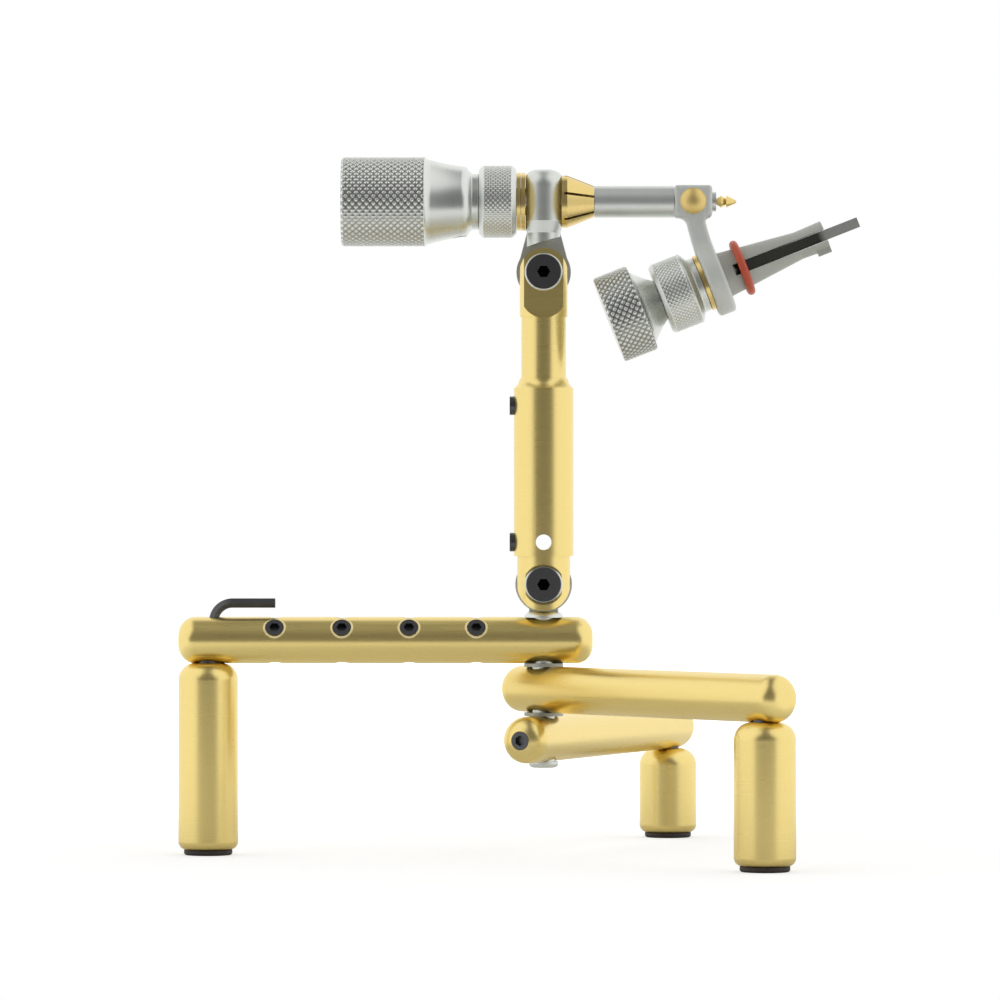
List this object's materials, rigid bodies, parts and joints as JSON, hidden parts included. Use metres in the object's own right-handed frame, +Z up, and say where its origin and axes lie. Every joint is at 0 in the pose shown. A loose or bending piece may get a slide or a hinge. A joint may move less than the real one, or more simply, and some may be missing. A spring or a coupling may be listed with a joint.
{
  "type": "fly tying vise",
  "caption": "Rotary fly tying vise with a folding round-bar brass base on rubber feet, jointed column, knurled drive knob, brake ring and slanted clamping jaw.",
  "frame": {"origin": "on the table under the vertical pivot of the base", "axes": "+Z up, +X along the rotary shaft towards the jaw, -Y towards the tier"},
  "size_m": [0.1828, 0.1694, 0.1872],
  "materials": {
    "satin_brass": "satin, fine turned",
    "turned_brass": "bright turned",
    "blasted_aluminium": "bead blasted",
    "satin_steel": "satin",
    "black_oxide_steel": "black oxide",
    "hardened_jaw_steel": "dark ground",
    "black_rubber": "matt moulded",
    "red_silicone": "smooth moulded"
  },
  "bodies": {
    "base": {"upper_arm": "satin_brass", "upper_leg": "satin_brass", "upper_leg_stud": "satin_steel", "upper_foot": "black_rubber", "tool_screws": "black_oxide_steel"},
    "middle": {"middle_arm": "satin_brass", "middle_leg": "satin_brass", "middle_leg_stud": "satin_steel", "middle_foot": "black_rubber", "middle_washer": "satin_steel"},
    "lower": {"lower_arm": "satin_brass", "lower_leg": "satin_brass", "lower_leg_stud": "satin_steel", "lower_foot": "black_rubber", "lower_washer": "satin_steel", "lower_arm_screw": "black_oxide_steel"},
    "pivot": {"pivot_knuckle": "satin_steel", "pivot_nut": "satin_steel", "lower_hinge_screw": "black_oxide_steel", "lower_hinge_ring": "satin_steel"},
    "column": {"column_tube": "satin_brass", "post_clamp_screw": "black_oxide_steel", "rod_clamp_screw": "black_oxide_steel"},
    "post": {"sliding_post": "satin_brass"},
    "head": {"head_bracket": "blasted_aluminium", "upper_hinge_screw": "black_oxide_steel", "upper_hinge_ring": "satin_steel", "friction_washer": "turned_brass", "brake_disc": "turned_brass", "collet": "turned_brass"},
    "brake": {"brake_ring": "blasted_aluminium"},
    "rotor": {"spindle": "satin_steel", "rotary_knob": "blasted_aluminium", "knob_set_screw": "black_oxide_steel", "swan_arm": "blasted_aluminium", "arm_button": "turned_brass", "axis_pointer": "turned_brass"},
    "jaw": {"jaw_holder": "blasted_aluminium", "jaw_washer": "turned_brass", "jaw_o_ring": "red_silicone", "fulcrum_pin": "satin_steel"},
    "lock": {"lock_ring": "blasted_aluminium"},
    "drive": {"jaw_knob": "blasted_aluminium", "push_rod": "satin_steel"},
    "near": {"near_jaw": "hardened_jaw_steel"},
    "far": {"far_jaw": "hardened_jaw_steel"},
    "key": {"hex_key": "black_oxide_steel"}
  },
  "joints": [
    {"name": "middle_arm_fold", "type": "hinge", "parent": "base", "child": "middle", "pos_m": [0, 0, 0.0444], "axis": [0, 0, 1], "range_deg": [-115, 104]},
    {"name": "lower_arm_fold", "type": "hinge", "parent": "base", "child": "lower", "pos_m": [0, 0, 0.0312], "axis": [0, 0, 1], "range_deg": [-104, 99]},
    {"name": "column_swivel", "type": "hinge", "parent": "base", "child": "pivot", "pos_m": [0, 0, 0.0637], "axis": [0, 0, 1], "continuous": true},
    {"name": "column_tilt", "type": "hinge", "parent": "pivot", "child": "column", "pos_m": [0, 0, 0.0726], "axis": [0, 1, 0], "range_deg": [-40, 60]},
    {"name": "post_slide", "type": "slide", "parent": "column", "child": "post", "axis": [0, 0, 1], "range_m": [-0.014, 0.009]},
    {"name": "head_tilt", "type": "hinge", "parent": "post", "child": "head", "pos_m": [0, 0, 0.1563], "axis": [0, 1, 0], "range_deg": [-60, 20]},
    {"name": "brake_turn", "type": "hinge", "parent": "head", "child": "brake", "pos_m": [-0.01733, 0, 0.1752], "axis": [1, 0, 0], "range_deg": [-90, 180]},
    {"name": "rotor_spin", "type": "hinge", "parent": "head", "child": "rotor", "pos_m": [0, 0, 0.1752], "axis": [1, 0, 0], "continuous": true},
    {"name": "jaw_swivel", "type": "hinge", "parent": "rotor", "child": "jaw", "pos_m": [0.0447, 0, 0.1541], "axis": [0.9304, 0, 0.3665], "continuous": true},
    {"name": "lock_turn", "type": "hinge", "parent": "jaw", "child": "lock", "pos_m": [0.04247, 0, 0.15322], "axis": [0.9304, 0, 0.3665], "range_deg": [-180, 90]},
    {"name": "jaw_knob_turn", "type": "hinge", "parent": "jaw", "child": "drive", "pos_m": [0.0313, 0, 0.14882], "axis": [0.9304, 0, 0.3665], "range_deg": [-360, 0]},
    {"name": "near_jaw_open", "type": "hinge", "parent": "jaw", "child": "near", "pos_m": [0.05968, 0, 0.16], "axis": [-0.3665, 0, 0.9304], "range_deg": [-2.2, 0]},
    {"name": "far_jaw_open", "type": "hinge", "parent": "jaw", "child": "far", "pos_m": [0.05968, 0, 0.16], "axis": [-0.3665, 0, 0.9304], "range_deg": [0, 2.2]},
    {"name": "key_lift", "type": "slide", "parent": "base", "child": "key", "axis": [0, 0, 1], "range_m": [0, 0.01]}
  ],
  "couplings": [
    {"joint": "near_jaw_open", "follows": "jaw_knob_turn", "ratio": 0.0061111},
    {"joint": "far_jaw_open", "follows": "jaw_knob_turn", "ratio": -0.0061111}
  ]
}
